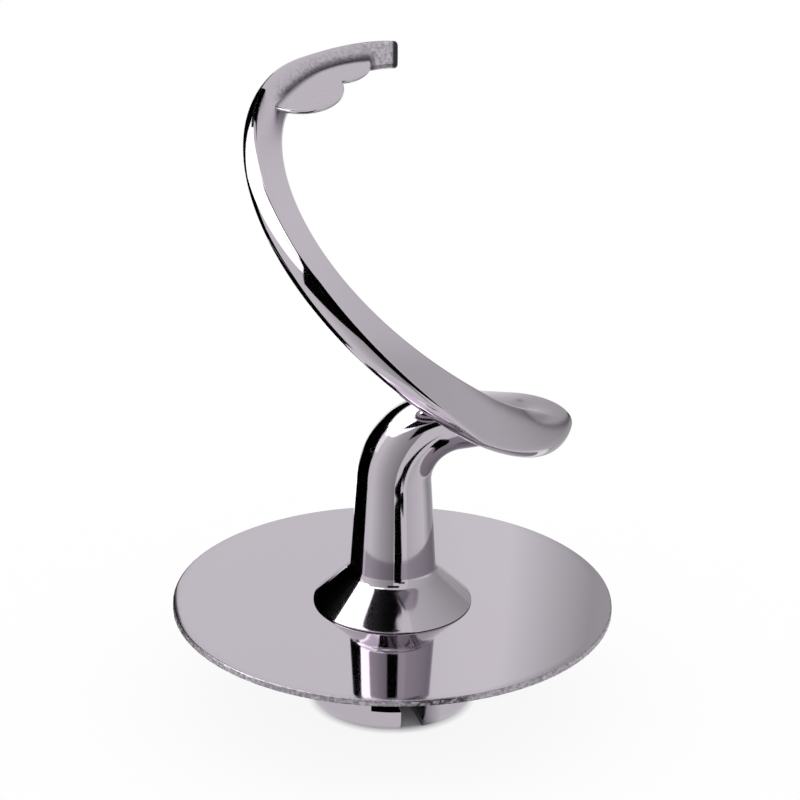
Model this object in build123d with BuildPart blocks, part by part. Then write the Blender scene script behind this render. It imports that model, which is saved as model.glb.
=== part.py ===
"""Spiral dough hook for a stand mixer: one cast hook and the round sheet guard held under its flange.

Millimetres. +Z runs up the hub's axis, and the origin is the middle of the hub's mouth, on which the
part stands. The hook leaves the neck towards +X, turns back in a hairpin, climbs clockwise past the
front (-Y) and the left (-X), and ends in a blunt tip at the back (+Y).
"""

import os
from math import atan2, cos, degrees, pi, radians, sin, sqrt, tan

from build123d import *

# Hub, its shaft socket, and the slot that takes the shaft's cross pin
hub_diameter = 39.0
hub_height = 23.0
hub_edge_radius = 3.5
bore_diameter = 13.0
bore_depth = 40.0
bore_chamfer = 0.8
pin_slot_width = 5.6
pin_slot_lip = 5.5
pin_slot_entry = 15.0  # degrees right of the front, where the pin goes in
pin_slot_turn = 20.0  # degrees that the pin turns back behind the lip
pin_slot_lead = 3.0  # rounding of the entry's side that faces the lip's end

# Guard: a sheet ring on the hub's spigot
guard_diameter = 100.0
guard_thickness = 1.5
guard_edge_radius = 0.4
guard_play = 0.1  # between the guard and the flange above it
spigot_diameter = 28.0
spigot_clearance = 0.1

# Flange and neck above the guard
flange_diameter = 36.0
flange_rim = 0.2
flange_slope = 44.0
flange_edge_radius = 0.3
neck_foot_diameter = 19.6
neck_top_diameter = 16.9
neck_fillet = 3.2

# Centre line of the hook: bend, straight bar, hairpin, then a spiral that climbs to the tip
bar_rise = 44.3  # bar's centre above the guard
bar_heading = 3.7
bend_radius = 14.15
hairpin_radius = 7.4
spoon_radius = 34.15
tip_radius = 26.4
tip_angle = -268.6
radius_fall = 1.16  # exponent that sets how late the spiral draws in
climb = 74.4
climb_start = 2.2
climb_span = 224.0
tip_lift = 2.5
tip_lift_start = -211.5

# Blade section: a flat face with a round back, whose lay turns from up to inward
spoon_width = 10.95
spoon_depth = 7.25
tip_width = 6.1
tip_depth = 3.9
blade_corner = 1.0
blade_crown = 0.5  # degrees that the flat face slopes away at its edges
neck_crown = 30.0  # the same, where the section is still a plain circle
spoon_lay = 151.6
spoon_lay_angle = -58.0
tip_lay = 34.4
lay_fall = 2.7
tip_edge_radius = 0.9
leg_sections = (6, 6, 3, 4, 24)  # sections in the neck, bend, bar, hairpin and spiral

# Two flat lobes cast inside the tip's bend
pad_thickness = 1.15
pad_tilt = 13.0
pad_rise = 0.8  # lobes' top above the centre line, at the large lobe's middle
pad_root = 1.0  # lobes' reach into the blade, past the tip's radius
large_pad_radius = 9.6
large_pad_angle = -207.8
large_pad_inset = 4.5  # lobe's middle inside the centre line
small_pad_radius = 7.7
small_pad_angle = -237.7
small_pad_inset = 1.8

pick_reach = 0.1  # how near an edge's middle is to the height it is picked by
wall_reach = 0.01  # the same, for edges picked by the flat wall that they lie in

guard_top = hub_height + guard_thickness
flange_foot = guard_top + guard_play
bar_height = guard_top + bar_rise
bend_foot = bar_height - bend_radius
flange_top = flange_foot + flange_rim
cone_height = (flange_diameter - neck_foot_diameter) / 2 * tan(radians(flange_slope))
neck_foot = flange_top + cone_height
neck_root = flange_top + cone_height / 2

run_end = sqrt((spoon_radius - hairpin_radius) ** 2 - hairpin_radius**2)
hairpin_lead = degrees(atan2(hairpin_radius, run_end))
hairpin_turn = 90 + hairpin_lead
spiral_start = bar_heading - hairpin_lead
spiral_span = spiral_start - tip_angle

bend_length = bend_radius * pi / 2
run_length = run_end - bend_radius
hairpin_length = hairpin_radius * radians(hairpin_turn)
blade_start = bend_length + run_length + hairpin_length


def within(share):
    """Keep a share between 0 and 1."""
    return min(max(share, 0.0), 1.0)


def mix(first, last, share):
    """Go from the first value to the last as share goes from 0 to 1."""
    return first + (last - first) * share


def swing(share):
    """Rise from 0 to 1, level at both ends."""
    return within(share) ** 2 * (3 - 2 * within(share))


def fall(share):
    """Drop from 1 to 0 along a quarter cosine, level at the start."""
    return cos(pi / 2 * within(share))


def flat_vector(angle, length):
    """Vector in plan, at an angle from +X."""
    return Vector(length * cos(radians(angle)), length * sin(radians(angle)), 0)


def height_at(angle):
    """Height of the centre line at an angle round the hub: a cosine climb, and a lift at the tip."""
    share = within((climb_start - angle) / climb_span)
    lift = tip_lift * swing((tip_lift_start - angle) / (tip_lift_start - tip_angle))
    return bar_height + climb * (1 - cos(pi * share)) / 2 + lift


def spiral_radius(angle):
    """Distance of the spiral's centre line from the axis, at an angle round the hub."""
    return mix(tip_radius, spoon_radius, fall((spiral_start - angle) / spiral_span) ** radius_fall)


def plan_angle(travel):
    """Angle round the hub. Travel is -1 to 0 in the neck, to 1 in the bend, 2 in the bar, 3 in the
    hairpin, and 4 at the tip."""
    if travel <= 2:
        return bar_heading
    if travel <= 3:
        centre = flat_vector(spiral_start, spoon_radius - hairpin_radius)
        point = centre + flat_vector(bar_heading + 90 - hairpin_turn * (travel - 2), hairpin_radius)
        return degrees(atan2(point.Y, point.X))
    return spiral_start - spiral_span * (travel - 3)


def path_point(travel):
    """Point of the hook's centre line."""
    if travel <= 0:
        return Vector(0, 0, mix(bend_foot, neck_root, -travel))
    if travel <= 1:
        turn = radians(90 * travel)
        rise = Vector(0, 0, bend_foot + bend_radius * sin(turn))
        return flat_vector(bar_heading, bend_radius * (1 - cos(turn))) + rise
    angle = plan_angle(travel)
    rise = Vector(0, 0, height_at(angle))
    if travel <= 2:
        return flat_vector(bar_heading, bend_radius + run_length * (travel - 1)) + rise
    if travel <= 3:
        centre = flat_vector(spiral_start, spoon_radius - hairpin_radius)
        turned = bar_heading + 90 - hairpin_turn * (travel - 2)
        return centre + flat_vector(turned, hairpin_radius) + rise
    return flat_vector(angle, spiral_radius(angle)) + rise


def lay_at(angle):
    """Lay of the flat face: 90 faces up, 0 faces the hub's axis, and more than 90 leans outward."""
    if angle > spoon_lay_angle:
        share = (bar_heading - angle) / (bar_heading - spoon_lay_angle)
        return mix(90, spoon_lay, swing(share))
    share = (spoon_lay_angle - angle) / (spoon_lay_angle - tip_angle)
    return mix(tip_lay, spoon_lay, (1 - within(share)) ** lay_fall)


def blade_share(travel):
    """Share of the way from the round neck to the finished blade."""
    lengths = (bend_length, run_length, hairpin_length)
    done = sum(length * within(travel - leg) for leg, length in enumerate(lengths))
    return swing(done / blade_start)


def section_plane(travel):
    """Plane across the hook, with its local +Y on the flat face's side."""
    step = 0.002
    along = (path_point(travel + step) - path_point(travel - step)).normalized()
    if travel < 1:
        across = flat_vector(bar_heading - 90, 1)
    else:
        across = along.cross(Vector(0, 0, 1)).normalized()
    above = across.cross(along).normalized()
    lay = radians(lay_at(plan_angle(travel)))
    face = above * sin(lay) + across * cos(lay)
    return Plane(origin=path_point(travel), x_dir=face.cross(along), z_dir=along)


def handle(angle):
    """Length of a cubic curve's handle, for an arc of this many degrees and a radius of 1."""
    return 4 / 3 * tan(radians(angle) / 4)


def neck_diameter(travel):
    """Diameter of the round neck, which tapers from its foot to the bend."""
    slope = (neck_foot_diameter - neck_top_diameter) / (bend_foot - neck_foot)
    return neck_top_diameter + slope * (bend_foot - min(path_point(travel).Z, bend_foot))


def hook_section(travel):
    """Face across the hook: a half ellipse, two corner arcs and the slightly crowned flat. The five
    curves stay apart, so that each makes its own face along the hook."""
    taper = fall((spiral_start - plan_angle(travel)) / spiral_span)
    share = blade_share(travel)
    neck = neck_diameter(travel) / 2
    half = mix(neck, mix(tip_width, spoon_width, taper) / 2, share)
    depth = mix(neck, mix(tip_depth, spoon_depth, taper), share)
    corner = mix(neck, blade_corner, share)
    crown = mix(neck_crown, blade_crown, share)

    face_half = half - corner * (1 - sin(radians(crown)))
    face_low = corner * cos(radians(crown))
    face_top = face_low + face_half * tan(radians(crown) / 2)
    base = (depth - face_top) / 2
    round_x = handle(90) * half
    round_y = handle(90) * depth
    slope = Vector(cos(radians(crown)), sin(radians(crown)))
    mirrored = Vector(cos(radians(crown)), -sin(radians(crown)))
    corner_arm = handle(90 - crown) * corner
    face_arm = handle(2 * crown) * face_half / sin(radians(crown))
    west = Vector(-half, base)
    east = Vector(half, base)
    south = Vector(0, base - depth)
    north_east = Vector(face_half, base + face_low)
    north_west = Vector(-face_half, base + face_low)
    aside = Vector(1, 0)
    upward = Vector(0, 1)
    curves = (
        Bezier(west, west - upward * round_y, south - aside * round_x, south),
        Bezier(south, south + aside * round_x, east - upward * round_y, east),
        Bezier(east, east + upward * corner_arm, north_east + mirrored * corner_arm, north_east),
        Bezier(north_east, north_east - mirrored * face_arm, north_west + slope * face_arm, north_west),
        Bezier(north_west, north_west - slope * corner_arm, west + upward * corner_arm, west),
    )
    return section_plane(travel) * Face(Wire(curves))


def edges_near(build, height):
    """Edges of a part whose middles are close to a height."""
    return build.edges().filter_by_position(Axis.Z, height - pick_reach, height + pick_reach)


with BuildPart() as dough_hook:
    # Bend, bar, hairpin and spiral blade on the neck, lofted through sections across the centre line
    travels = [leg - 1 + step / steps for leg, steps in enumerate(leg_sections) for step in range(steps)]
    loft([hook_section(travel) for travel in travels + [len(leg_sections) - 1]])
    tip_face = dough_hook.faces().filter_by(GeomType.PLANE).sort_by(Axis.Z)[-1]
    fillet(tip_face.edges(), tip_edge_radius)

    # Hub, spigot and flange, turned about the axis
    hub_r = hub_diameter / 2
    flange_r = flange_diameter / 2
    with BuildSketch(Plane.XZ):
        with BuildLine():
            Line((0, 0), (hub_r - hub_edge_radius, 0))
            CenterArc((hub_r - hub_edge_radius, hub_edge_radius), hub_edge_radius, -90, 90)
            Polyline(
                (hub_r, hub_edge_radius),
                (hub_r, hub_height),
                (spigot_diameter / 2, hub_height),
                (spigot_diameter / 2, flange_foot),
                (flange_r, flange_foot),
                (flange_r, flange_top),
                (0, flange_top + flange_r * tan(radians(flange_slope))),
                (0, 0),
            )
        make_face()
    revolve(axis=Axis.Z)
    fillet(edges_near(dough_hook, flange_top).filter_by(GeomType.CIRCLE), flange_edge_radius)
    fillet(edges_near(dough_hook, neck_foot), neck_fillet)

    # Lobes inside the tip's bend, cut off within the blade
    large_pad = flat_vector(large_pad_angle, spiral_radius(large_pad_angle) - large_pad_inset)
    small_pad = flat_vector(small_pad_angle, spiral_radius(small_pad_angle) - small_pad_inset)
    pad_slope = radians(pad_tilt)
    pad_height = height_at(large_pad_angle) + pad_rise - large_pad.Y * tan(pad_slope)
    pad_normal = (0, -sin(pad_slope), cos(pad_slope))
    with BuildSketch(Plane(origin=(0, 0, pad_height), x_dir=(1, 0, 0), z_dir=pad_normal)):
        with Locations((large_pad.X, large_pad.Y / cos(pad_slope))):
            Circle(large_pad_radius)
        with Locations((small_pad.X, small_pad.Y / cos(pad_slope))):
            Circle(small_pad_radius)
        Circle(tip_radius + pad_root, mode=Mode.INTERSECT)
    extrude(amount=-pad_thickness)

    # Shaft socket, and the pin's slot: open at the mouth, then closed below by a lip
    with BuildSketch(Plane.XY):
        Circle(bore_diameter / 2)
    extrude(amount=bore_depth, mode=Mode.SUBTRACT)
    mouth = dough_hook.edges().filter_by(GeomType.CIRCLE).group_by(Axis.Z)[0].sort_by(SortBy.RADIUS)[0]
    chamfer(mouth, bore_chamfer)
    entry_heading = pin_slot_entry - 90
    lock_heading = entry_heading - pin_slot_turn
    with BuildSketch(Plane.XY.rotated((0, 0, entry_heading))):
        Rectangle(hub_diameter, pin_slot_width, align=(Align.MIN, Align.CENTER))
    extrude(amount=pin_slot_lip + pin_slot_width, mode=Mode.SUBTRACT)
    with BuildSketch(Plane.XY.offset(pin_slot_lip).rotated((0, 0, lock_heading))):
        Rectangle(hub_diameter, pin_slot_width, align=(Align.MIN, Align.CENTER))
        with BuildLine():
            swept = CenterArc((0, 0), hub_diameter, 0, pin_slot_turn)
            Line((0, 0), swept @ 0)
            Line((0, 0), swept @ 1)
        make_face()
    extrude(amount=pin_slot_width, mode=Mode.SUBTRACT)
    across_entry = Axis((0, 0, 0), flat_vector(entry_heading + 90, 1))
    along_entry = Axis((0, 0, 0), flat_vector(entry_heading, 1))
    wall_place = pin_slot_width / 2
    entry_wall = dough_hook.edges().filter_by_position(Axis.Z, 0, hub_height).filter_by_position(
        across_entry, wall_place - wall_reach, wall_place + wall_reach
    )
    fillet(entry_wall.sort_by(along_entry)[-2:], pin_slot_lead)

dough_hook.part.label = "dough_hook"

with BuildPart() as dough_guard:
    with BuildSketch(Plane.XY.offset(hub_height)):
        Circle(guard_diameter / 2)
        Circle(spigot_diameter / 2 + spigot_clearance, mode=Mode.SUBTRACT)
    extrude(amount=guard_thickness)
    fillet(dough_guard.faces().sort_by(Axis.Z)[-1].outer_wire().edges(), guard_edge_radius)

dough_guard.part.label = "dough_guard"

os.makedirs("parts", exist_ok=True)
export_step(dough_hook.part, "parts/dough_hook.step")
export_step(dough_guard.part, "parts/dough_guard.step")
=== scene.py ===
"""Looks of a spiral dough hook: its polished casting and the mirror-bright sheet guard round its hub.

Lengths are in millimetres until a mesh is made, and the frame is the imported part's: +Z up the hub's
axis from the socket's mouth, +X along the hook's bar, -Y towards the viewer.
"""

import bpy
import numpy as np
from mathutils import Matrix


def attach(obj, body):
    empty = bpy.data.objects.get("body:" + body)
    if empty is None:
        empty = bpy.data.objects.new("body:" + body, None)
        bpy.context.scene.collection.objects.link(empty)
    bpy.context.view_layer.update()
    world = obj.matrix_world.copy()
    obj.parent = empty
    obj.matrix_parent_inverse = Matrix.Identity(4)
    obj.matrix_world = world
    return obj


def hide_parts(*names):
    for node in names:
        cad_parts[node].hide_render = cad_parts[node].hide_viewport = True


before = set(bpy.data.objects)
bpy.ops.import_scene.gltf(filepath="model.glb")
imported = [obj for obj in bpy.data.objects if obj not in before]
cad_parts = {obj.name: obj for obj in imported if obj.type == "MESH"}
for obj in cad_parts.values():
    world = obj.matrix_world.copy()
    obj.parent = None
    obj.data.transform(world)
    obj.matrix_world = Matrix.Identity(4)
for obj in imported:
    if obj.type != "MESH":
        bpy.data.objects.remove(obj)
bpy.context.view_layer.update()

MM = 0.001

# Hub, socket and pin slot
HUB_RADIUS = 19.5
HUB_HEIGHT = 23.0
HUB_EDGE = 3.5
SHOULDER_EDGE = 0.3
BORE_RADIUS = 6.5
BORE_DEPTH = 40.0
BORE_CHAMFER = 0.8
BORE_END_RINGS = (0.35, 0.7, 1.0)
SLOT_HALF_WIDTH = 2.8
SLOT_LIP = 5.5
SLOT_TOP = 11.1
SLOT_ENTRY = -75.0
SLOT_LOCK = -95.0
SLOT_LEAD = 3.0

# Guard, spigot and flange
GUARD_RADIUS = 50.0
GUARD_TOP = 24.5
GUARD_LIFT = 0.02
GUARD_EDGE = 0.4
GUARD_LOWER_EDGE = 0.2
GUARD_HOLE_EDGE = 0.15
SPIGOT_RADIUS = 14.0
SPIGOT_CLEARANCE = 0.1
SPIGOT_FOOT_FILLET = 0.3
SPIGOT_TOP_FILLET = 0.2
FLANGE_FOOT = 24.6
FLANGE_RADIUS = 18.0
FLANGE_RIM = 0.2
FLANGE_LOWER_EDGE = 0.04
FLANGE_EDGE = 0.3
NECK_FOOT = 32.72
NECK_FOOT_RADIUS = 9.8
NECK_TOP_RADIUS = 8.45
NECK_FILLET = 3.2
NECK_JOIN = 1.5

# Centre line: bend, bar, hairpin, then the climbing spiral
BAR_HEIGHT = 68.8
BAR_HEADING = 3.7
BEND_RADIUS = 14.15
HAIRPIN_RADIUS = 7.4
SPOON_RADIUS = 34.15
TIP_RADIUS = 26.4
TIP_ANGLE = -268.6
RADIUS_FALL = 1.16
CLIMB = 74.4
CLIMB_START = 2.2
CLIMB_SPAN = 224.0
TIP_LIFT = 2.5
TIP_LIFT_START = -211.5

# Blade section and its lay
SPOON_WIDTH = 10.95
SPOON_DEPTH = 7.25
TIP_WIDTH = 6.1
TIP_DEPTH = 3.9
BLADE_CORNER = 1.0
BLADE_CROWN = 0.5
NECK_CROWN = 30.0
SPOON_LAY = 151.6
SPOON_LAY_ANGLE = -58.0
TIP_LAY = 34.4
LAY_FALL = 2.7
TIP_EDGE = 0.9

# Lobes inside the tip's bend: radius, angle round the hub, and inset from the centre line
PAD_THICKNESS = 1.15
PAD_TILT = np.radians(13.0)
PAD_RISE = 0.8
PAD_ROOT = 1.0
LARGE_PAD = (9.6, -207.8, 4.5)
SMALL_PAD = (7.7, -237.7, 1.8)

# Worked out from the sizes above
BEND_FOOT = BAR_HEIGHT - BEND_RADIUS
RUN_END = np.sqrt((SPOON_RADIUS - HAIRPIN_RADIUS) ** 2 - HAIRPIN_RADIUS**2)
HAIRPIN_LEAD = np.degrees(np.arctan2(HAIRPIN_RADIUS, RUN_END))
HAIRPIN_TURN = 90 + HAIRPIN_LEAD
SPIRAL_START = BAR_HEADING - HAIRPIN_LEAD
SPIRAL_SPAN = SPIRAL_START - TIP_ANGLE
LEG_LENGTHS = (BEND_RADIUS * np.pi / 2, RUN_END - BEND_RADIUS, HAIRPIN_RADIUS * np.radians(HAIRPIN_TURN))

# Mesh: columns round a section, rows along the surface, spacings in mm, and small steps along the route
BACK_COLUMNS = 84
CORNER_COLUMNS = 28
FACE_COLUMNS = 28
COLUMNS = BACK_COLUMNS + 2 * CORNER_COLUMNS + FACE_COLUMNS
LOCK_COLUMN, LIP_COLUMN, ENTRY_COLUMN = -8, 1, 9
LEAD_COLUMNS = 6
LIP_ROWS, LEG_ROWS, BORE_ROWS, MOUTH_ROWS, HUB_ROWS = 12, 6, 8, 6, 2
NECK_ROWS, BEND_ROWS, BAR_ROWS, HAIRPIN_ROWS, SPIRAL_ROWS = 16, 36, 16, 32, 250
TIP_EDGE_ROWS, TIP_END_ROWS = 4, 5
LOBE_COLUMNS, LOBE_ROWS, LOBE_RIM_ROWS = 180, 14, 11
LOBE_SPREAD, LOBE_MIDDLE = (0.1, 0.97), 0.6
GUARD_COLUMNS = 720
ARC_ROWS = 8
HUB_SPACING, GUARD_SPACING = 0.7, 2.0
CARD_CELLS = 24
TRAVEL_STEP, TIP_SETBACK = 0.002, 0.0045
LEVEL_TOLERANCE = 0.01
SHARP_ANGLE = 38.0

# Torn rim of the guard: depth of its grain, width of its band, fade of the band, and seed of the random draw
RIM_GRAIN, RIM_BAND, RIM_FADE, RIM_SEED = 0.04, 0.5, 0.4, 5

# Cast grain, darker towards the lobes as painted shade; painted shade in the creases, the socket and the
# slot's entry;
# a painted dark reflection at the tip's end; a small dark spot: how far along the route, how far above the
# lobes in mm, and how strong
LOBE_REACH = (3.695, 3.74, 3.945, 3.965)
GRAIN_HEIGHT, CREASE_HEIGHT, CREASE_WIDTH = 3.4, 1.4, 1.0
TIP_GRAIN = (3.89, 3.95)
LOBE_CAST, TIP_CAST, CREASE_SHADE = 0.1, 0.85, 0.85
SPOON_CREASE = (2.97, 3.03, 3.16, 3.24)
SPOON_CREASE_COLUMNS = (129.0, 142.0, 5.0)
SPOON_SHADE = 0.5
SPOON_MARK, MARK_SIZE, MARK_SHADE = (27.9, 1.2, 73.6), 0.8, 0.4
TIP_SHADE = (3.991, 3.996)
SOCKET_SHADE, LEAD_SHADE = 0.8, 0.9

# Steel: colours, roughness of each finish, and the grain's size in cycles per metre, detail and relief
STEEL = (0.49, 0.45, 0.50)
# Darker tone of the cast and rim grain; near the lobes it also paints shade
GRAIN_AND_SHADE_DARK = (0.25, 0.23, 0.26)
# Colour of the painted shade and painted dark reflection: creases, socket, slot's entry, tip's end
SHADE_DARK = (0.03, 0.03, 0.035)
POLISH, MIRROR = 0.07, 0.05
SATIN = 0.3
CAST_ROUGH, RIM_ROUGH = 0.35, 0.4
GRAIN_SCALE = 1500.0
CAST_DETAIL, RIM_DETAIL = 4.0, 3.0
GRAIN_RANGE = (0.35, 0.65)
CAST_BUMP, CAST_RELIEF = 0.6, 0.0002

# Camera: angles in degrees, target and distance in mm, lens and sensor in mm
CAMERA_RISE, CAMERA_ROLL = 23.45, 0.72
CAMERA_TARGET, CAMERA_DISTANCE = (1.16, 0, 73.91), 900
CAMERA_LENS, CAMERA_SENSOR = 181.46, 36

# Floor and studio: half the floor's width in metres, its colour and glow, and the studio's levels of light
FLOOR_REACH, FLOOR_WHITE, FLOOR_GLOW = 4.0, 0.9, 0.88
STUDIO_LIGHT, STUDIO_WHITE = 1.1, 1.0

# Cards round the object, which only its reflections show. Each has levels of light spread evenly over its
# width, a middle and a distance in mm, and four corners as azimuth and elevation in degrees.
BLACK = (0.0, 0.0)
SPOON_LEVELS = (0.0, 0.15, 0.4, 0.45, 0.5)
HIGH_LEVELS = (1.0, 1.05, 1.06, 0.8, 0.55, 0.6, 0.53)
ROOM, WAIST, FOOT = (0, 0, 70), (0, 0, 50), (0, 0, 18)
CARDS = {
    "left_softbox": ((4.5, 4.5), ROOM, 600, ((-150, 34), (-84, 24), (-84, 66), (-150, 66))),
    "top_softbox": ((4.5, 4.5), ROOM, 620, ((-86, 26), (-33, 38), (-33, 62), (-86, 66))),
    "roof_softbox": ((2.2, 2.2), ROOM, 640, ((-142, 66), (-74, 66), (-74, 88), (-142, 88))),
    "low_softbox": ((1.5, 1.5), ROOM, 640, ((-101, 7), (-84, 7), (-84, 30), (-101, 30))),
    "arm_softbox": ((2.3, 2.3), (0, 0, 125), 85, ((-124, -13), (-64, -9), (-64, 34), (-124, 34))),
    "front_softbox": ((2.3, 2.3), (0, 0, 125), 86, ((-158, -5), (-122, -13), (-122, 7), (-158, 7))),
    "back_flag": (BLACK, ROOM, 560, ((-66, -2), (-18, -2), (-18, 34), (-66, 28))),
    "back_wall": (BLACK, (0, 0, 0), 260, ((-67, 1), (-24, 1), (-24, 32), (-67, 32))),
    "side_flag": (BLACK, WAIST, 95, ((-97, -12), (-37, -12), (-37, 12), (-95, 12))),
    "high_flag": (BLACK, WAIST, 96, ((-95, 12), (-37, 12), (-37, 38), (-76, 38))),
    "low_flag": (BLACK, WAIST, 97, ((-96, -30), (-20, -30), (-36, -11), (-97, -11))),
    "neck_flag": (BLACK, FOOT, 59, ((156, -3), (176, 2), (177, 18), (162, 24))),
    "bend_flag": (BLACK, FOOT, 60, ((153, 14), (166, 19), (166, 25), (151, 26))),
    "bend_strip": (BLACK, (10, -7, 67), 12, ((112, -70), (158, -48), (152, -36), (104, -60))),
    "mirror_flag": (BLACK, WAIST, 104, ((163, 18), (193, 18), (193, 35), (163, 35))),
    "front_flag": (BLACK, ROOM, 580, ((-200, 60), (-113, 51), (-113, 68), (-165, 67))),
    "front_shade": ((0.38, 0.62, 1.0), WAIST, 105, ((-182, -27), (-116, -27), (-116, 36), (-182, 38))),
    "arm_shade": (BLACK, (0, 0, 118), 52, ((-200, -34), (-132, -14), (-154, 28), (-208, 48))),
    "arm_flag": (BLACK, (-33, -2, 142), 9, ((-65, 15), (115, 20), (70, 80), (-100, 85))),
    "spoon_flag": (SPOON_LEVELS, (37, -7, 73), 10, ((17, -25), (50, -25), (50, 60), (17, 60))),
    "back_light": ((1.9, 1.9), (-30, 115, -598), 600, ((-180, 84), (180, 84), (180, 89.9), (-180, 89.9))),
    "right_shade": ((0.95, 0.57, 0.5, 0.46), WAIST, 95, ((8, -30), (62, -30), (62, -10), (8, -10))),
    "right_fill": ((0.46, 1.0, 0.92, 0.8), WAIST, 95, ((62, -30), (143, -30), (143, -10), (62, -10))),
    "high_shade": (HIGH_LEVELS, WAIST, 95, ((4, -10), (46, -10), (46, 60), (4, 60))),
    "high_fill": ((0.47, 0.7, 0.85), WAIST, 95, ((46, -10), (143, -10), (143, 60), (46, 60))),
}


def within(share):
    """Keep a share between 0 and 1."""
    return np.clip(share, 0.0, 1.0)


def mix(first, last, share):
    """Go from the first value to the last as share goes from 0 to 1."""
    return first + (last - first) * share


def swing(share):
    """Rise from 0 to 1, level at both ends: 3s^2 - 2s^3."""
    return within(share) ** 2 * (3 - 2 * within(share))


def fall(share):
    """Drop from 1 to 0 along a quarter cosine."""
    return np.cos(np.pi / 2 * within(share))


def flat(angle, length):
    """Points in plan at an angle in degrees and a distance from the axis."""
    turn = np.radians(angle)
    return np.stack([length * np.cos(turn), length * np.sin(turn), np.zeros_like(turn + length)], -1)


def unit(vectors):
    """Vectors scaled to length 1."""
    return vectors / np.linalg.norm(vectors, axis=-1, keepdims=True)


def hairpin_points(travel):
    """The hairpin's arc in plan, from the bar's end to the spiral's start."""
    middle = flat(SPIRAL_START, SPOON_RADIUS - HAIRPIN_RADIUS)
    return middle + flat(BAR_HEADING + 90 - HAIRPIN_TURN * (travel - 2), HAIRPIN_RADIUS)


def route_angle(travel):
    """Angle round the hub. Travel is 0 to 1 in the bend, to 2 in the bar, 3 in the hairpin, 4 at the tip."""
    hairpin = hairpin_points(travel)
    turning = np.degrees(np.arctan2(hairpin[..., 1], hairpin[..., 0]))
    spiral = SPIRAL_START - SPIRAL_SPAN * (travel - 3)
    return np.where(travel <= 2, BAR_HEADING, np.where(travel <= 3, turning, spiral))


def route_height(angle):
    """Height of the centre line: half a cosine over the climb, and a small lift at the tip."""
    share = within((CLIMB_START - angle) / CLIMB_SPAN)
    lift = TIP_LIFT * swing((TIP_LIFT_START - angle) / (TIP_LIFT_START - TIP_ANGLE))
    return BAR_HEIGHT + CLIMB * (1 - np.cos(np.pi * share)) / 2 + lift


def spiral_radius(angle):
    """Radius of the spiral: it falls by a power of a quarter cosine."""
    return mix(TIP_RADIUS, SPOON_RADIUS, fall((SPIRAL_START - angle) / SPIRAL_SPAN) ** RADIUS_FALL)


def route(travel):
    """Centre line of the hook: straight up the neck, a quarter circle, a straight bar, a hairpin arc, and
    the climbing spiral."""
    angle = route_angle(travel)
    turn = np.radians(90 * within(travel))
    bend = flat(BAR_HEADING, BEND_RADIUS * (1 - np.cos(turn)))
    bend[..., 2] = BEND_FOOT + BEND_RADIUS * np.sin(turn) + np.minimum(travel, 0) * (BEND_FOOT - NECK_FOOT)
    bar = flat(BAR_HEADING, BEND_RADIUS + LEG_LENGTHS[1] * (travel - 1))
    hairpin = hairpin_points(travel)
    spiral = flat(angle, spiral_radius(angle))
    for leg in (bar, hairpin, spiral):
        leg[..., 2] = route_height(angle)
    along = travel[..., None]
    return np.where(along <= 1, bend, np.where(along <= 2, bar, np.where(along <= 3, hairpin, spiral)))


def blade_lay(angle):
    """Lay of the flat face in degrees: 90 faces up, 0 faces the axis, more than 90 leans outward."""
    rising = mix(90, SPOON_LAY, swing((BAR_HEADING - angle) / (BAR_HEADING - SPOON_LAY_ANGLE)))
    share = within((SPOON_LAY_ANGLE - angle) / (SPOON_LAY_ANGLE - TIP_ANGLE))
    return np.where(angle > SPOON_LAY_ANGLE, rising, mix(TIP_LAY, SPOON_LAY, (1 - share) ** LAY_FALL))


def blade_share(travel):
    """Share of the way from the round neck to the finished blade, by length along the centre line."""
    done = sum(length * within(travel - leg) for leg, length in enumerate(LEG_LENGTHS))
    return swing(done / sum(LEG_LENGTHS))


def section_frame(travel):
    """Centre, along, sideways and face directions of the section at each travel."""
    along = unit(route(travel + TRAVEL_STEP) - route(travel - TRAVEL_STEP))
    sideways = np.cross(along, (0.0, 0.0, 1.0))
    bent = np.broadcast_to(flat(np.array(BAR_HEADING - 90.0), 1.0), sideways.shape)
    across = unit(np.where((travel < 1)[..., None], bent, sideways))
    above = unit(np.cross(across, along))
    lay = np.radians(blade_lay(route_angle(travel)))[..., None]
    face = above * np.sin(lay) + across * np.cos(lay)
    return route(travel), along, np.cross(face, along), face


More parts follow.
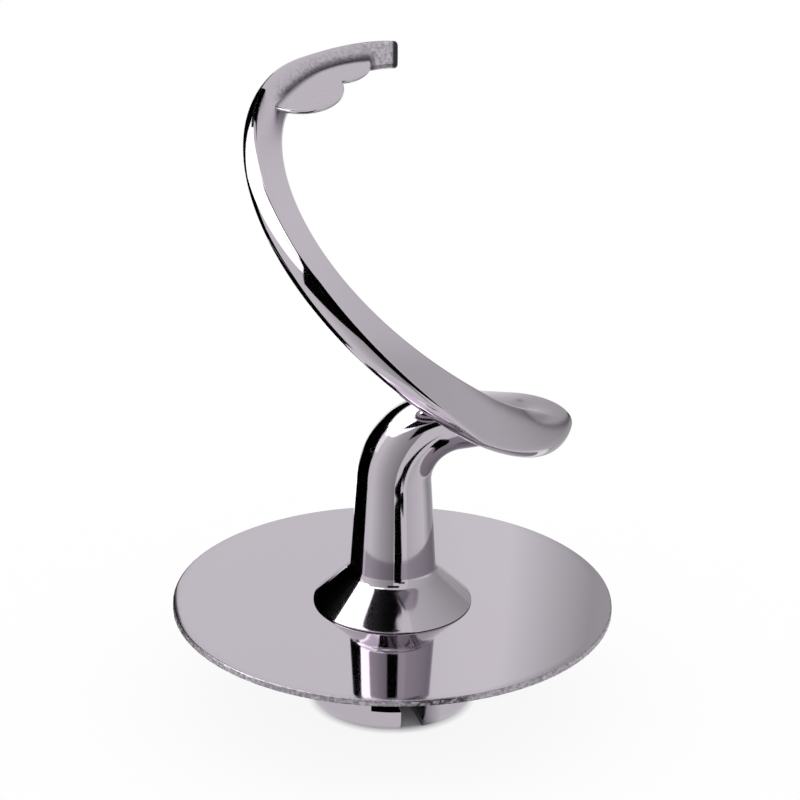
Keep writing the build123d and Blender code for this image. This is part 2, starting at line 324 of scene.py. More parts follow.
def blade_section(travel):
    """Section outline in its own plane: half an ellipse for the back, two corner arcs, and a shallow arc for
    the flat face. In the neck all four are parts of one circle."""
    taper = fall((SPIRAL_START - route_angle(travel)) / SPIRAL_SPAN)
    share = blade_share(travel)
    slope = (NECK_FOOT_RADIUS - NECK_TOP_RADIUS) / (BEND_FOOT - NECK_FOOT)
    neck = NECK_TOP_RADIUS + slope * np.maximum(BEND_FOOT - route(travel)[..., 2], 0)
    half = mix(neck, mix(TIP_WIDTH, SPOON_WIDTH, taper) / 2, share)[:, None]
    depth = mix(neck, mix(TIP_DEPTH, SPOON_DEPTH, taper), share)[:, None]
    corner = mix(neck, BLADE_CORNER, share)[:, None]
    crown = np.radians(mix(NECK_CROWN, BLADE_CROWN, share))[:, None]
    face_half = half - corner * (1 - np.sin(crown))
    face_low = corner * np.cos(crown)
    face_radius = face_half / np.sin(crown)
    base = (depth - face_low - face_half * np.tan(crown / 2)) / 2
    back = np.linspace(np.pi, 2 * np.pi, BACK_COLUMNS, endpoint=False)[None]
    step = np.linspace(0, 1, CORNER_COLUMNS, endpoint=False)[None]
    east = step * (np.pi / 2 - crown)
    west = np.pi / 2 + crown + east
    over = crown * (1 - 2 * np.linspace(0, 1, FACE_COLUMNS, endpoint=False)[None])
    wide = [
        half * np.cos(back),
        half - corner + corner * np.cos(east),
        face_radius * np.sin(over),
        corner - half + corner * np.cos(west),
    ]
    high = [
        base + depth * np.sin(back),
        base + corner * np.sin(east),
        base + face_low + face_radius * (np.cos(over) - np.cos(crown)),
        base + corner * np.sin(west),
    ]
    return np.concatenate(wide, 1), np.concatenate(high, 1)


def blade_rows():
    """Rows of points from the top of the neck's fillet to the tip, and the tip's rounded end: the last
    section drawn in towards its middle along a quarter circle."""
    travel = np.concatenate(
        [
            np.linspace(NECK_JOIN / (BEND_FOOT - NECK_FOOT) - 1, 0, NECK_ROWS, endpoint=False)[1:],
            np.linspace(0, 1, BEND_ROWS, endpoint=False),
            np.linspace(1, 2, BAR_ROWS, endpoint=False),
            np.linspace(2, 3, HAIRPIN_ROWS, endpoint=False),
            np.linspace(3, 4 - TIP_SETBACK, SPIRAL_ROWS),
        ]
    )
    centre, along, side, face = section_frame(travel)
    wide, high = blade_section(travel)
    rows = centre[:, None] + wide[..., None] * side[:, None] + high[..., None] * face[:, None]
    turn = np.linspace(0, np.pi / 2, TIP_EDGE_ROWS + 1)[1:]
    drawn = 1 - TIP_EDGE * (1 - np.cos(turn)) / (TIP_WIDTH / 2)
    inner = np.linspace(drawn[-1], 0, TIP_END_ROWS + 1)[1:-1]
    shrink = np.concatenate([drawn, inner])[:, None, None]
    ahead = np.concatenate([TIP_EDGE * np.sin(turn), np.full(len(inner), TIP_EDGE)])[:, None, None]
    end = centre[-1] + (rows[-1] - centre[-1]) * shrink + along[-1] * ahead
    return np.concatenate([rows, end]), np.concatenate([travel, np.full(len(end), 4.0)])


def rounded(corners, radii, spacing):
    """Profile through corner points, each inner corner replaced by the arc of its radius that touches both
    sides, and the straights divided at the given spacing."""
    corners = np.array(corners, float)
    points = [corners[:1]]
    for before, corner, after, radius in zip(corners[:-2], corners[1:-1], corners[2:], radii):
        back, ahead = unit(before - corner), unit(after - corner)
        half_angle = np.arccos(np.clip(back @ ahead, -1, 1)) / 2
        reach = radius / np.tan(half_angle)
        middle = corner + unit(back + ahead) * radius / np.sin(half_angle)
        start, end = corner + back * reach - middle, corner + ahead * reach - middle
        share = np.linspace(0, 1, ARC_ROWS + 1)[:, None]
        swept = np.arccos(np.clip(start @ end / radius**2, -1, 1))
        arc = (np.sin((1 - share) * swept) * start + np.sin(share * swept) * end) / np.sin(swept)
        points.append(straight(points[-1][-1], middle + arc[0], spacing))
        points.append(middle + arc[1:])
    points.append(straight(points[-1][-1], corners[-1], spacing))
    return np.concatenate(points)


def straight(start, end, spacing):
    """Points after the start, up to and with the end, no further apart than the spacing."""
    count = max(int(np.ceil(np.linalg.norm(end - start) / spacing)), 1)
    return start + (end - start) * (np.arange(1, count + 1) / count)[:, None]


def turned_profile():
    """Radius and height of the turned surface, from the socket's blind end down its wall, out across the
    mouth, up the hub, round the spigot and flange, and onto the neck. Also the rows of the slot's levels."""
    slope = (NECK_FOOT_RADIUS - NECK_TOP_RADIUS) / (BEND_FOOT - NECK_FOOT)
    end = np.stack([BORE_RADIUS * np.array(BORE_END_RINGS), np.full(len(BORE_END_RINGS), BORE_DEPTH)], 1)
    mouth = BORE_RADIUS + BORE_CHAMFER
    turn = np.linspace(0, np.pi / 2, LIP_ROWS - 1)
    edge = HUB_RADIUS - HUB_EDGE
    levels = np.linspace(SLOT_LIP, SLOT_TOP, LEG_ROWS + 1)
    above = rounded(
        [
            (HUB_RADIUS, SLOT_TOP),
            (HUB_RADIUS, HUB_HEIGHT),
            (SPIGOT_RADIUS, HUB_HEIGHT),
            (SPIGOT_RADIUS, FLANGE_FOOT),
            (FLANGE_RADIUS, FLANGE_FOOT),
            (FLANGE_RADIUS, FLANGE_FOOT + FLANGE_RIM),
            (NECK_FOOT_RADIUS, NECK_FOOT),
            (NECK_FOOT_RADIUS - slope * NECK_JOIN, NECK_FOOT + NECK_JOIN),
        ],
        [SHOULDER_EDGE, SPIGOT_FOOT_FILLET, SPIGOT_TOP_FILLET, FLANGE_LOWER_EDGE, FLANGE_EDGE, NECK_FILLET],
        HUB_SPACING,
    )
    bore = np.concatenate([np.linspace(BORE_DEPTH, SLOT_TOP, BORE_ROWS + 1)[1:], levels[::-1][1:]])
    lip = np.linspace(SLOT_LIP, BORE_CHAMFER, LIP_ROWS)[1:]
    inside = np.concatenate([bore, lip])
    wall = np.stack([np.full(len(inside), BORE_RADIUS), inside], 1)
    floor = np.stack([np.linspace(mouth, edge, MOUTH_ROWS + 1), np.zeros(MOUTH_ROWS + 1)], 1)
    round_edge = np.stack([edge + HUB_EDGE * np.sin(turn), HUB_EDGE * (1 - np.cos(turn))], 1)[1:]
    rise = np.linspace(HUB_EDGE, SLOT_LIP, HUB_ROWS + 1)[1:]
    outside = np.concatenate([rise, levels[1:]])
    hub = np.stack([np.full(len(outside), HUB_RADIUS), outside], 1)
    inner_top = len(end) + BORE_ROWS - 1
    outer_top = len(end) + len(wall) + len(floor) + len(round_edge) + len(hub) - 1
    return np.concatenate([end, wall, floor, round_edge, hub, above[1:]]), inner_top, outer_top


def turned_rows(profile, outer_top):
    """Points of the turned surface. Below the hub's shoulder the columns beside the slot keep to its straight
    sides, which lie half the slot's width from a radius, and the others share the rest of the circle."""
    radius, height = profile[:, :1], profile[:, 1:]
    column = (np.arange(COLUMNS)[None] - LOCK_COLUMN) % COLUMNS + LOCK_COLUMN
    even = BAR_HEADING - 90 + 360 / COLUMNS * column
    reach = np.degrees(np.arcsin(SLOT_HALF_WIDTH / np.maximum(radius, BORE_RADIUS)))
    knots = [SLOT_LOCK - reach, SLOT_ENTRY - reach, SLOT_ENTRY + reach, SLOT_LOCK - reach + 360]
    marks = [LOCK_COLUMN, LIP_COLUMN, ENTRY_COLUMN, LOCK_COLUMN + COLUMNS]
    fitted = knots[0]
    for start, end, low, high in zip(marks[:-1], marks[1:], knots[:-1], knots[1:]):
        fitted = fitted + (high - low) * within((column - start) / (end - start))
    row = np.arange(len(profile))[:, None]
    share = np.where(row <= outer_top, 1.0, within((radius - SPIGOT_RADIUS) / (HUB_RADIUS - SPIGOT_RADIUS)))
    share = np.where(height > HUB_HEIGHT + LEVEL_TOLERANCE, 0.0, share)
    turn = np.radians(mix(even, fitted, share))
    points = np.stack([radius * np.cos(turn), radius * np.sin(turn), height + 0 * turn], -1)
    outside = np.arange(outer_top - LEG_ROWS - LIP_ROWS, outer_top + 1)
    columns = ENTRY_COLUMN + np.arange(LEAD_COLUMNS + 1)
    corner = np.ix_(outside, columns)
    lead = lead_points(radius[outside])
    points[corner] = mix(points[corner], lead, swing(height[outside] / HUB_EDGE)[..., None] * [1, 1, 0])
    return points


def lead_points(radius):
    """Rounding of the slot's outer edge at the entry: the arc that touches the entry's straight side and the
    hub's circle, for each radius of the hub."""
    ahead, aside = flat(np.array(SLOT_ENTRY), 1.0), flat(np.array(SLOT_ENTRY + 90), 1.0)
    out = SLOT_HALF_WIDTH + SLOT_LEAD
    along = np.sqrt((radius - SLOT_LEAD) ** 2 - out**2)
    turn = mix(-np.pi / 2, np.arctan2(out, along), np.linspace(0, 1, LEAD_COLUMNS + 1)[None])
    place, reach = along + SLOT_LEAD * np.cos(turn), out + SLOT_LEAD * np.sin(turn)
    return place[..., None] * ahead + reach[..., None] * aside


def ring_quads(rows, columns):
    """Corner numbers of the quads of a closed tube, as an array of rows by columns by four."""
    row, column = np.meshgrid(np.arange(rows - 1), np.arange(columns), indexing="ij")
    after = (column + 1) % columns
    this, above = row * columns, (row + 1) * columns
    return np.stack([this + column, this + after, above + after, above + column], -1)


def slot_quads(quads, inner_top, outer_top):
    """The tube's quads with the pin slot opened: the cells between its sides go, on the hub and in the
    socket, and sides, roof and lip are stretched straight from the hub's wall to the socket's."""
    keep = np.ones(quads.shape[:2], bool)
    inner_lip, outer_lip = inner_top + LEG_ROWS, outer_top - LEG_ROWS
    inner_foot, outer_foot = inner_lip + LIP_ROWS, outer_lip - LIP_ROWS
    entry = np.arange(LIP_COLUMN, ENTRY_COLUMN) % COLUMNS
    whole = np.arange(LOCK_COLUMN, ENTRY_COLUMN) % COLUMNS
    keep[inner_lip:outer_lip, entry] = False
    keep[np.ix_(np.r_[inner_top:inner_lip, outer_lip:outer_top], whole)] = False

    def side(column, low, high, turned):
        """A wall of the slot at one column, between two levels counted up from the mouth."""
        level = np.arange(low, high)
        outer = (outer_foot + level) * COLUMNS + column % COLUMNS
        inner = (inner_foot - level) * COLUMNS + column % COLUMNS
        corners = [outer, outer + COLUMNS, inner - COLUMNS, inner]
        return np.stack(corners[::-1] if turned else corners, 1)

    def deck(columns, outer_row, inner_row, turned):
        """A level face of the slot, between the hub's wall and the socket's."""
        start, end = columns % COLUMNS, (columns + 1) % COLUMNS
        corners = [outer_row * COLUMNS + start, outer_row * COLUMNS + end]
        corners += [inner_row * COLUMNS + end, inner_row * COLUMNS + start]
        return np.stack(corners[::-1] if turned else corners, 1)

    top = LIP_ROWS + LEG_ROWS
    return np.concatenate(
        [
            quads[keep],
            side(ENTRY_COLUMN, 0, top, False),
            side(LIP_COLUMN, 0, LIP_ROWS, True),
            side(LOCK_COLUMN, LIP_ROWS, top, True),
            deck(np.arange(LOCK_COLUMN, ENTRY_COLUMN), outer_top, inner_top, True),
            deck(np.arange(LOCK_COLUMN, LIP_COLUMN), outer_lip, inner_lip, False),
        ]
    )


def lobe_points():
    """Points of the two lobes: rays from a point within both circles, each as long as the farther circle
    lets it, but not past a circle inside the blade. Rows go from the top's middle over a half-round rim to
    the underside's middle."""
    (large, large_angle, large_inset), (small, small_angle, small_inset) = LARGE_PAD, SMALL_PAD
    lean = np.array([1, 1 / np.cos(PAD_TILT), 0])
    first = (flat(np.array(large_angle), spiral_radius(large_angle) - large_inset) * lean)[:2]
    second = (flat(np.array(small_angle), spiral_radius(small_angle) - small_inset) * lean)[:2]
    middle = mix(first, second, LOBE_MIDDLE)
    base = route_height(np.array(large_angle)) + PAD_RISE - first[1] * np.sin(PAD_TILT)
    turn = np.linspace(0, 2 * np.pi, LOBE_COLUMNS, endpoint=False)
    ray = np.stack([np.cos(turn), np.sin(turn)], -1)

    def exit_at(centre, radius):
        """Distance along each ray to where it leaves a circle."""
        offset = centre - middle
        ahead = ray @ offset
        return ahead + np.sqrt(ahead**2 - offset @ offset + radius**2)

    def tilted(across, away, up):
        """Points of the lobes' own plane, leaned up about the bar's direction and raised into place."""
        lean_back, lean_up = np.cos(PAD_TILT), np.sin(PAD_TILT)
        height = base + away * lean_up + up * lean_back
        return np.stack([across + 0 * up, away * lean_back - up * lean_up, height], -1)

    reach = np.maximum(exit_at(first, large), exit_at(second, small))
    reach = np.minimum(reach, exit_at(np.zeros(2), TIP_RADIUS + PAD_ROOT))
    half = PAD_THICKNESS / 2
    around = np.linspace(0, np.pi, LOBE_RIM_ROWS)
    spread = np.linspace(*LOBE_SPREAD, LOBE_ROWS)
    level = np.full(LOBE_ROWS, half)
    inset = np.concatenate([level, half * (1 - np.sin(around)), level])
    share = np.concatenate([spread, np.ones(LOBE_RIM_ROWS), spread[::-1]])
    sunk = np.concatenate([0 * level, half * (1 - np.cos(around)), 2 * level])
    out = share[:, None] * (reach[None] - inset[:, None])
    place = middle + out[..., None] * ray[None]
    ends = tilted(middle[0], middle[1], np.array([0.0, -PAD_THICKNESS]))
    return tilted(place[..., 0], place[..., 1], -sunk[:, None]), ends


def cap(ring, columns, pole, turned):
    """Triangles from a ring's corners to a pole."""
    start = ring + np.arange(columns)
    end = ring + (np.arange(columns) + 1) % columns
    corners = [start, end, np.full(columns, pole)]
    return np.stack(corners[::-1] if turned else corners, 1)


def add_object(name, data):
    """An object in the scene, for a mesh or a camera."""
    added = bpy.data.objects.new(name, data)
    bpy.context.scene.collection.objects.link(added)
    return added


def new_piece(name, points, quads, triangles, layers):
    """Mesh object from corner numbers, with the points that no face uses left out, in metres."""
    used, numbers = np.unique(np.concatenate([quads.ravel(), triangles.ravel()]), return_inverse=True)
    mesh = bpy.data.meshes.new(name)
    mesh.vertices.add(len(used))
    mesh.vertices.foreach_set("co", (points[used] * MM).astype(np.float32).ravel())
    mesh.loops.add(len(numbers))
    mesh.loops.foreach_set("vertex_index", numbers.ravel().astype(np.int32))
    sizes = np.concatenate([np.full(len(quads), 4), np.full(len(triangles), 3)]).astype(np.int32)
    mesh.polygons.add(len(sizes))
    mesh.polygons.foreach_set("loop_start", (np.cumsum(sizes) - sizes).astype(np.int32))
    mesh.polygons.foreach_set("use_smooth", np.ones(len(sizes), bool))
    mesh.update(calc_edges=True)
    mesh.set_sharp_from_angle(angle=np.radians(SHARP_ANGLE))
    for layer, values in layers.items():
        kind = "FLOAT" if values.ndim == 1 else "FLOAT_VECTOR"
        field = "value" if values.ndim == 1 else "vector"
        stored = mesh.attributes.new(layer, kind, "POINT")
        stored.data.foreach_set(field, values[used].astype(np.float32).ravel())
    return add_object(name, mesh)


def face_columns():
    """How much of each column belongs to the blade's flat face, fading over the corners."""
    column = np.arange(COLUMNS)
    rise = swing((column - BACK_COLUMNS - CORNER_COLUMNS / 2) / (CORNER_COLUMNS / 2))
    return rise * swing((COLUMNS - CORNER_COLUMNS / 2 - column) / (CORNER_COLUMNS / 2))


def stretch(values, marks):
    """1 between the two inner marks, fading to 0 at the outer ones."""
    first, second, third, last = marks
    return swing((values - first) / (second - first)) * swing((last - values) / (last - third))


def nearest(points, others):
    """Distance from each point to the nearest of the others."""
    others = others.reshape(-1, 3)
    return np.array([np.sqrt(((others - point) ** 2).sum(-1).min()) for point in points])


def blade_marks(blade, travel, lobes):
    """Cast grain and painted shade on the blade. The grain lies above the lobes, darker towards them as
    painted shade, and round the tip. The shade layer paints shade in the corner over the lobes and in the
    fold inside the spoon, marks a small dark spot beside the fold, and paints the tip's end dark as a painted
    reflection."""
    height = blade[..., 2] - lobes[0, 0, 2] - (blade[..., 1] - lobes[0, 0, 1]) * np.tan(PAD_TILT)
    over_lobes = stretch(travel, LOBE_REACH)[:, None]
    # Cast grain above the lobes, darker towards them: real grain together with painted shade
    grain_and_shade = over_lobes * swing(1 - np.maximum(height, 0) / GRAIN_HEIGHT)
    at_tip = swing((travel - TIP_GRAIN[0]) / (TIP_GRAIN[1] - TIP_GRAIN[0]))
    grain_and_shade = np.maximum(grain_and_shade, TIP_CAST * at_tip[:, None])
    # Painted shade in the corner over the lobes
    shade = CREASE_SHADE * over_lobes * swing(1 - np.maximum(height, 0) / CREASE_HEIGHT)
    # Painted shade along the fold inside the spoon
    first, last, spread = SPOON_CREASE_COLUMNS
    fold = mix(first, last, within((travel - 3) / (SPOON_CREASE[2] - 3)))[:, None]
    fold = np.exp(-(((np.arange(COLUMNS)[None] - fold) / spread) ** 2))
    shade = np.maximum(shade, SPOON_SHADE * stretch(travel, SPOON_CREASE)[:, None] * fold)
    # A small dark spot beside the fold
    spot_distance = np.linalg.norm(blade - np.array(SPOON_MARK), axis=-1)
    shade = np.maximum(shade, MARK_SHADE * swing(1 - spot_distance / (2 * MARK_SIZE)))
    # Painted dark reflection on the tip's end
    tip = swing((travel - TIP_SHADE[0]) / (TIP_SHADE[1] - TIP_SHADE[0]))
    return grain_and_shade, np.maximum(shade, tip[:, None])


def make_hook():
    """The casting as one tube, from the socket's blind end over hub, flange and neck to the tip, with the
    lobes as a second closed shell that starts inside the blade. Its points carry how much they belong to the
    flat face, to the cast grain, which holds painted shade near the lobes, and to the painted shade of the
    creases and the painted dark reflection at the tip's end; the socket and the slot's entry get painted
    shade too."""
    profile, inner_top, outer_top = turned_profile()
    turned = turned_rows(profile, outer_top)
    blade, travel = blade_rows()
    rows = np.concatenate([turned, blade])
    count = len(rows) * COLUMNS
    quads = slot_quads(ring_quads(len(rows), COLUMNS), inner_top, outer_top)
    lobes, lobe_ends = lobe_points()
    lobe_start = count + 2
    poles = np.array([(0, 0, BORE_DEPTH), blade[-1].mean(0)])
    lobe_quads = ring_quads(len(lobes), LOBE_COLUMNS)[..., ::-1].reshape(-1, 4) + lobe_start
    lobe_pole = lobe_start + lobes.shape[0] * LOBE_COLUMNS
    triangles = np.concatenate(
        [
            cap(0, COLUMNS, count, True),
            cap(count - COLUMNS, COLUMNS, count + 1, False),
            cap(lobe_start, LOBE_COLUMNS, lobe_pole, False),
            cap(lobe_pole - LOBE_COLUMNS, LOBE_COLUMNS, lobe_pole + 1, True),
        ]
    )
    points = np.concatenate([rows.reshape(-1, 3), poles, lobes.reshape(-1, 3), lobe_ends])

    lobe_count = len(points) - lobe_start
    face, grain_and_shade, shade = np.zeros((3, len(rows), COLUMNS))
    face[len(turned):] = blade_share(travel)[:, None] * face_columns()[None]
    grain_and_shade[len(turned):], shade[len(turned):] = blade_marks(blade, travel, lobes)
    # Painted shade inside the socket, fading across the slot's walls
    shade[: len(turned)] = SOCKET_SHADE * (profile[:, :1] <= BORE_RADIUS)
    # Painted shade on the rounded outer edge of the slot's entry, fading away from the slot
    lead = np.arange(LEAD_COLUMNS + 1)
    slot_foot = outer_top - LEG_ROWS - LIP_ROWS
    shade[slot_foot : outer_top + 1, ENTRY_COLUMN + lead] = LEAD_SHADE * (1 - lead / LEAD_COLUMNS)
    # Painted shade along the lobes where they meet the blade
    from_blade = nearest(lobes.reshape(-1, 3), blade[travel > LOBE_REACH[0]])
    lobe_shade = CREASE_SHADE * swing(1 - from_blade / CREASE_WIDTH)
    layers = {
        "face": np.concatenate([face.ravel(), np.zeros(2 + lobe_count)]),
        "grain_and_shade": np.concatenate([grain_and_shade.ravel(), [0.0, 1.0], np.full(lobe_count, LOBE_CAST)]),
        "shade": np.concatenate([shade.ravel(), [0.0, 1.0], lobe_shade, np.zeros(2)]),
    }
    return new_piece("hook", points, np.concatenate([quads, lobe_quads]), triangles, layers)


def make_guard():
    """The guard as a ring turned about the axis: hole, top, rounded upper edge, sheared rim and underside.
    The rim is drawn in by a seeded random depth at each point, smoothed along the rim, for its torn grain."""
    foot = HUB_HEIGHT + GUARD_LIFT
    hole = SPIGOT_RADIUS + SPIGOT_CLEARANCE
    profile = rounded(
        [
            (hole, (foot + GUARD_TOP) / 2),
            (hole, GUARD_TOP),
            (GUARD_RADIUS, GUARD_TOP),
            (GUARD_RADIUS, foot),
            (hole, foot),
            (hole, (foot + GUARD_TOP) / 2),
        ],
        [GUARD_HOLE_EDGE, GUARD_EDGE, GUARD_LOWER_EDGE, GUARD_HOLE_EDGE],
        GUARD_SPACING,
    )[:-1]
    edge = swing((profile[:, 0] - GUARD_RADIUS + RIM_BAND) / RIM_FADE)
    turn = np.linspace(0, 2 * np.pi, GUARD_COLUMNS, endpoint=False)
    grain = np.random.default_rng(RIM_SEED).normal(size=(len(profile), GUARD_COLUMNS))
    grain = grain + np.roll(grain, 1, 1) + np.roll(grain, -1, 1)
    sheared = edge * (profile[:, 1] < GUARD_TOP - GUARD_EDGE / 2)
    radius = profile[:, :1] - RIM_GRAIN * sheared[:, None] * np.abs(grain)
    points = np.stack([radius * np.cos(turn), radius * np.sin(turn), profile[:, 1:] + 0 * radius], -1)
    rows = len(profile)
    quads = ring_quads(rows + 1, GUARD_COLUMNS).reshape(-1, 4) % (rows * GUARD_COLUMNS)
    layers = {"edge": np.repeat(edge, GUARD_COLUMNS)}
    none = np.zeros((0, 3), int)
    return new_piece("guard", points.reshape(-1, 3), quads[:, ::-1], none, layers)


def empty_material(name):
    """A node material with nothing but its output."""
    material = bpy.data.materials.new(name)
    material.use_nodes = True
    tree = material.node_tree
    tree.nodes.clear()
    return material, tree, tree.nodes.new("ShaderNodeOutputMaterial")


def metal_material(name):
    """A node material with a metal shader wired to its output."""
    material, tree, output = empty_material(name)
    shader = tree.nodes.new("ShaderNodeBsdfPrincipled")
    shader.inputs["Metallic"].default_value = 1.0
    tree.links.new(shader.outputs["BSDF"], output.inputs["Surface"])
    return material, tree, shader


def attribute(tree, name):
    """A number stored on the mesh's points."""
    node = tree.nodes.new("ShaderNodeAttribute")
    node.attribute_name = name
    return node.outputs["Fac"]


def noise(tree, scale, detail):
    """Cloudy noise over the piece, in cycles per metre."""
    place = tree.nodes.new("ShaderNodeTexCoord")
    node = tree.nodes.new("ShaderNodeTexNoise")
    node.inputs["Scale"].default_value = scale
    node.inputs["Detail"].default_value = detail
    tree.links.new(place.outputs["Object"], node.inputs["Vector"])
    return node.outputs["Fac"]


def ramp(tree, value, low, high, first, last):
    """A value's range stretched to another range, and kept within it."""
    node = tree.nodes.new("ShaderNodeMapRange")
    for socket, number in zip(("From Min", "From Max", "To Min", "To Max"), (low, high, first, last)):
        node.inputs[socket].default_value = number
    tree.links.new(value, node.inputs["Value"])
    return node.outputs["Result"]


def combine(tree, operation, first, second):
    """Two values joined by a sum, product or other operation; either may be a plain number."""
    node = tree.nodes.new("ShaderNodeMath")
    node.operation = operation
    for socket, value in zip(node.inputs, (first, second)):
        if isinstance(value, float):
            socket.default_value = value
        else:
            tree.links.new(value, socket)
    return node.outputs[0]


def blend_colour(tree, share, first, last):
    """Colour between two, by a share; either may be another node's output."""
    node = tree.nodes.new("ShaderNodeMix")
    node.data_type = "RGBA"
    for socket, colour in zip("AB", (first, last)):
        if isinstance(colour, tuple):
            node.inputs[socket].default_value = (*colour, 1)
        else:
            tree.links.new(colour, node.inputs[socket])
    tree.links.new(share, node.inputs["Factor"])
    return node.outputs["Result"]


def bump(tree, shader, height, strength, reach):
    """Small relief on a shader, from a height value, its strength and its depth in metres."""
    node = tree.nodes.new("ShaderNodeBump")
    node.inputs["Distance"].default_value = reach
    tree.links.new(height, node.inputs["Height"])
    tree.links.new(strength, node.inputs["Strength"])
    tree.links.new(node.outputs["Normal"], shader.inputs["Normal"])


def polished_steel():
    """Steel of the casting: bright on the round sides, satin on the flat face, mottled grain at the tip and
    over the lobes, darkened by painted shade near the lobes, in the creases, the socket and the slot's entry,
    by a painted dark reflection at the tip's end, and by a small dark spot."""
    material, tree, shader = metal_material("polished_steel")
    face, grain_and_shade, shade = (attribute(tree, name) for name in ("face", "grain_and_shade", "shade"))
    mottle = noise(tree, GRAIN_SCALE, CAST_DETAIL)
    # The grain's darker tone, which near the lobes also paints shade, then the painted shade and reflection
    tone = combine(tree, "MULTIPLY", grain_and_shade, ramp(tree, mottle, *GRAIN_RANGE, 0.0, 1.0))
    colour = blend_colour(tree, shade, blend_colour(tree, tone, STEEL, GRAIN_AND_SHADE_DARK), SHADE_DARK)
    tree.links.new(colour, shader.inputs["Base Color"])
    satin = combine(tree, "MULTIPLY", face, SATIN)
    rough = combine(tree, "ADD", combine(tree, "MULTIPLY", grain_and_shade, CAST_ROUGH), POLISH)
    tree.links.new(combine(tree, "MAXIMUM", satin, rough), shader.inputs["Roughness"])
    bump(tree, shader, mottle, combine(tree, "MULTIPLY", grain_and_shade, CAST_BUMP), CAST_RELIEF)
    return material


def mirror_sheet():
    """Steel of the guard: a mirror on its faces, torn grain on its rim."""
    material, tree, shader = metal_material("mirror_sheet")
    edge = attribute(tree, "edge")
    grain = noise(tree, GRAIN_SCALE, RIM_DETAIL)
    tone = combine(tree, "MULTIPLY", edge, ramp(tree, grain, *GRAIN_RANGE, 0.0, 1.0))
    tree.links.new(blend_colour(tree, tone, STEEL, GRAIN_AND_SHADE_DARK), shader.inputs["Base Color"])
    tree.links.new(ramp(tree, edge, 0.0, 1.0, MIRROR, RIM_ROUGH), shader.inputs["Roughness"])
    return material


def make_camera():
    """Camera at the photograph's place: rise and distance from the target, small roll and lens."""
    rise, roll = np.radians(CAMERA_RISE), np.radians(CAMERA_ROLL)
    back = np.array([0, -np.cos(rise), np.sin(rise)])
    right, up = np.array([1.0, 0, 0]), np.array([0, np.sin(rise), np.cos(rise)])
    turned_right = np.cos(roll) * right + np.sin(roll) * up
    turned_up = np.cos(roll) * up - np.sin(roll) * right
    place = (np.array(CAMERA_TARGET) + back * CAMERA_DISTANCE) * MM
    data = bpy.data.cameras.new("camera")
    data.lens = CAMERA_LENS
    data.sensor_width = CAMERA_SENSOR
    camera = add_object("camera", data)
    camera.matrix_world = Matrix(
        [[*axes, spot] for *axes, spot in zip(turned_right, turned_up, back, place)] + [[0, 0, 0, 1]]
    )
    bpy.context.scene.camera = camera


def make_floor():
    """A wide white floor. Seen directly or in the metal it glows white and keeps a part of the object's
    shadow; under the hub it does not glow."""
    mesh = bpy.data.meshes.new("floor")
    corners = [(x * FLOOR_REACH, y * FLOOR_REACH, 0) for x, y in ((-1, -1), (1, -1), (1, 1), (-1, 1))]
    mesh.from_pydata(corners, [], [(0, 1, 2, 3)])
    floor = add_object("floor", mesh)
    material, tree, output = empty_material("white_floor")
    diffuse = tree.nodes.new("ShaderNodeBsdfDiffuse")
    diffuse.inputs["Color"].default_value = (FLOOR_WHITE, FLOOR_WHITE, FLOOR_WHITE, 1)
    glow = tree.nodes.new("ShaderNodeEmission")
    blend = tree.nodes.new("ShaderNodeMixShader")
    place = tree.nodes.new("ShaderNodeTexCoord")
    reach = tree.nodes.new("ShaderNodeVectorMath")
    reach.operation = "LENGTH"
    tree.links.new(place.outputs["Object"], reach.inputs[0])
    foot = (HUB_RADIUS - HUB_EDGE) * MM
    outside = ramp(tree, reach.outputs["Value"], foot, HUB_RADIUS * MM, 0.0, FLOOR_GLOW)
    tree.links.new(combine(tree, "MULTIPLY", seen_ray(tree), outside), blend.inputs["Fac"])
    tree.links.new(diffuse.outputs[0], blend.inputs[1])
    tree.links.new(glow.outputs[0], blend.inputs[2])
    tree.links.new(blend.outputs[0], output.inputs["Surface"])
    mesh.materials.append(material)


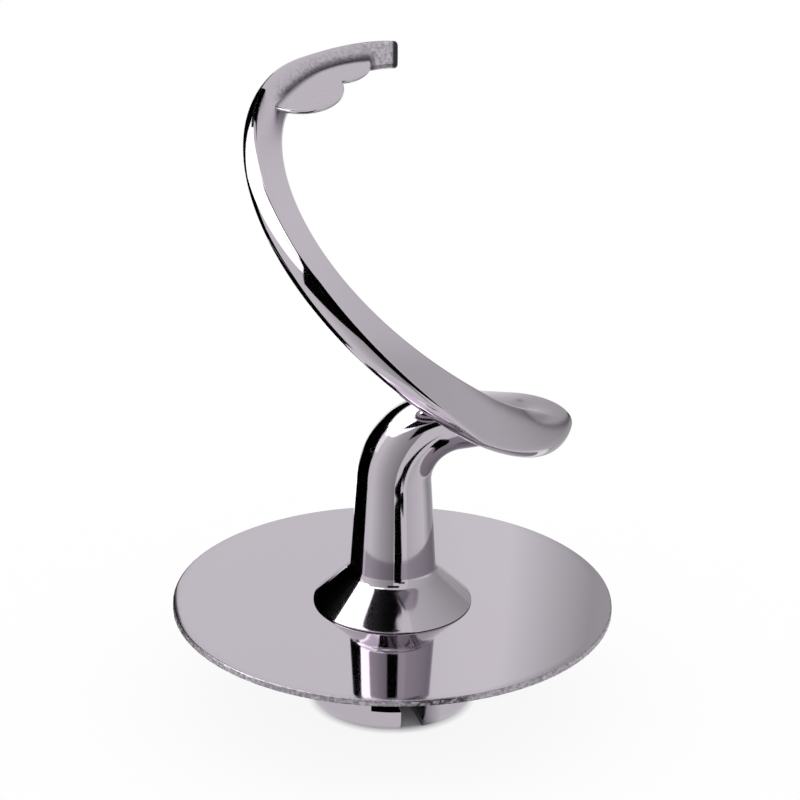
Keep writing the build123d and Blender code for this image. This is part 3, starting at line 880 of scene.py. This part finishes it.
def make_card(name, levels, middle, distance, corners):
    """A card bent round a middle point: its corners are azimuths from straight behind the object and
    elevations, in degrees, all at one distance, and the rest is filled evenly between them. Only the metal
    sees it, as a light or as a dark flag."""
    share = np.linspace(0, 1, CARD_CELLS + 1)
    across, up = np.meshgrid(share, share)
    corners = np.radians(np.array(corners, float))
    low = mix(corners[0], corners[1], across[..., None])
    high = mix(corners[3], corners[2], across[..., None])
    turn, rise = np.moveaxis(mix(low, high, up[..., None]), -1, 0)
    points = np.stack([np.sin(turn) * np.cos(rise), np.cos(turn) * np.cos(rise), np.sin(rise)], -1) * distance
    points = points + np.array(middle, float)
    row, column = np.meshgrid(np.arange(CARD_CELLS), np.arange(CARD_CELLS), indexing="ij")
    start = row * (CARD_CELLS + 1) + column
    above = start + CARD_CELLS + 1
    quads = np.stack([start, start + 1, above + 1, above], -1).reshape(-1, 4)
    mesh = bpy.data.meshes.new(name)
    mesh.from_pydata((points.reshape(-1, 3) * MM).tolist(), [], quads.tolist())
    level = np.interp(across, np.linspace(0, 1, len(levels)), levels).astype(np.float32).ravel()
    mesh.attributes.new("level", "FLOAT", "POINT").data.foreach_set("value", level)
    card = add_object(name, mesh)
    card.visible_camera = card.visible_diffuse = card.visible_transmission = card.visible_shadow = False
    material, tree, output = empty_material(name)
    glow = tree.nodes.new("ShaderNodeEmission")
    tree.links.new(attribute(tree, "level"), glow.inputs["Strength"])
    tree.links.new(glow.outputs[0], output.inputs["Surface"])
    mesh.materials.append(material)


def seen_ray(tree):
    """1 for camera, glossy and transmission rays, which see the background itself."""
    path = tree.nodes.new("ShaderNodeLightPath")
    seen = combine(tree, "MAXIMUM", path.outputs["Is Camera Ray"], path.outputs["Is Glossy Ray"])
    return combine(tree, "MAXIMUM", seen, path.outputs["Is Transmission Ray"])


def make_world():
    """A white studio all round: full white where it is seen, and a plain level of light on the floor."""
    world = bpy.data.worlds.new("studio")
    bpy.context.scene.world = world
    world.use_nodes = True
    tree = world.node_tree
    tree.nodes.clear()
    output = tree.nodes.new("ShaderNodeOutputWorld")
    background = tree.nodes.new("ShaderNodeBackground")
    background.inputs["Color"].default_value = (1, 1, 1, 1)
    level = ramp(tree, seen_ray(tree), 0.0, 1.0, STUDIO_LIGHT, STUDIO_WHITE)
    tree.links.new(level, background.inputs["Strength"])
    tree.links.new(background.outputs[0], output.inputs["Surface"])


bpy.context.scene.view_settings.view_transform = "Standard"
make_camera()
make_world()
make_floor()
for name, card in CARDS.items():
    make_card(name, *card)

hook = make_hook()
hook.data.materials.append(polished_steel())
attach(hook, "root")
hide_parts("dough_hook")

guard = make_guard()
guard.data.materials.append(mirror_sheet())
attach(guard, "root")
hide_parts("dough_guard")
